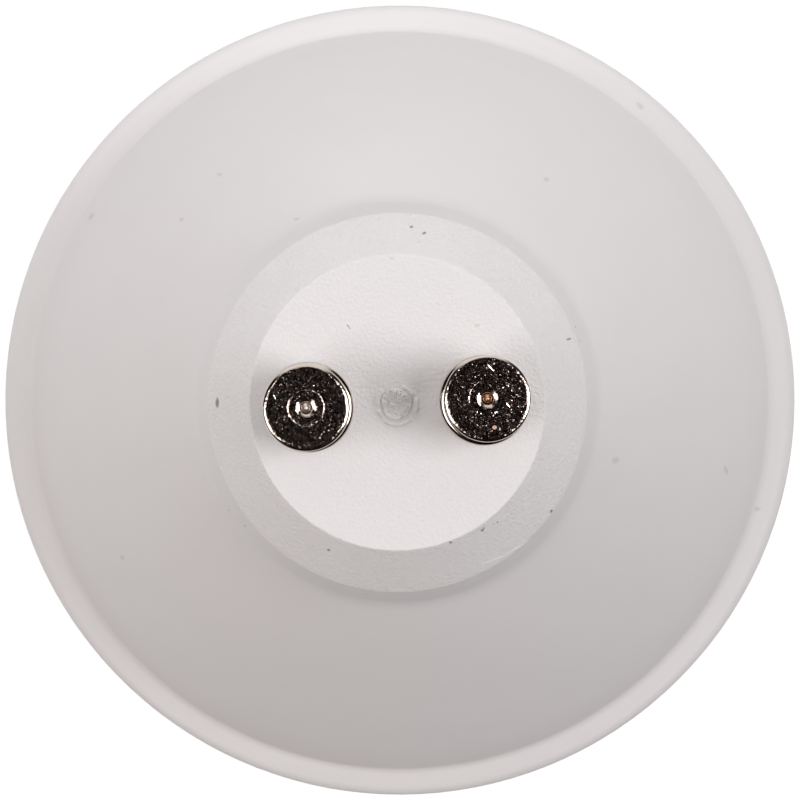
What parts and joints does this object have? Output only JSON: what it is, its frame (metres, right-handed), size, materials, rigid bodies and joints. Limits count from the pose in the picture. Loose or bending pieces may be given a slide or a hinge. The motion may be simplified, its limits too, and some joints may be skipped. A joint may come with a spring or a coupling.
{
  "type": "spotlight bulb",
  "caption": "Reflector-shaped spotlight bulb: white flared plastic housing, bevelled base with twist-lock contact pins, clear front cover over a board of light sources.",
  "frame": {"origin": "centre of the front rim's flat face, on which the bulb stands", "axes": "+Z along the bulb's axis from the front rim to the pins, X along the row of pins"},
  "size_m": [0.05, 0.05, 0.0542],
  "materials": {
    "white_moulding": "satin white moulded plastic, fine spark-eroded grain on the base",
    "bare_aluminium": "bare drawn aluminium",
    "nickel_plate": "bright nickel plate on brass, fine grain on the tip",
    "copper_wire": "bare copper wire",
    "tinned_wire": "tinned copper wire",
    "white_board_mask": "white solder mask on aluminium",
    "led_package": "white package with a yellow phosphor window",
    "clear_cover": "clear plastic, frosted inside",
    "board_laminate": "green glass-fibre laminate",
    "capacitor_sleeve": "dark shrink sleeve on an aluminium can",
    "wound_ferrite": "enamelled copper winding on a dark ferrite core",
    "resistor_coat": "lacquered ceramic body",
    "black_moulding": "black moulding compound"
  },
  "bodies": {
    "root": {"housing": "white_moulding", "heat_sink": "bare_aluminium", "contact_pin_left": "nickel_plate", "contact_pin_right": "nickel_plate", "mains_wire_left": "copper_wire", "mains_wire_right": "copper_wire", "feed_wire_left": "tinned_wire", "feed_wire_right": "tinned_wire", "led_board": "white_board_mask", "led_1": "led_package", "led_2": "led_package", "led_3": "led_package", "led_4": "led_package", "led_5": "led_package", "led_6": "led_package", "led_7": "led_package", "led_8": "led_package", "front_cover": "clear_cover", "driver_board": "board_laminate", "bulk_capacitor": "capacitor_sleeve", "inductor": "wound_ferrite", "fuse_resistor": "resistor_coat", "bridge_rectifier": "black_moulding", "driver_chip": "black_moulding", "freewheel_diode": "black_moulding"}
  },
  "joints": []
}
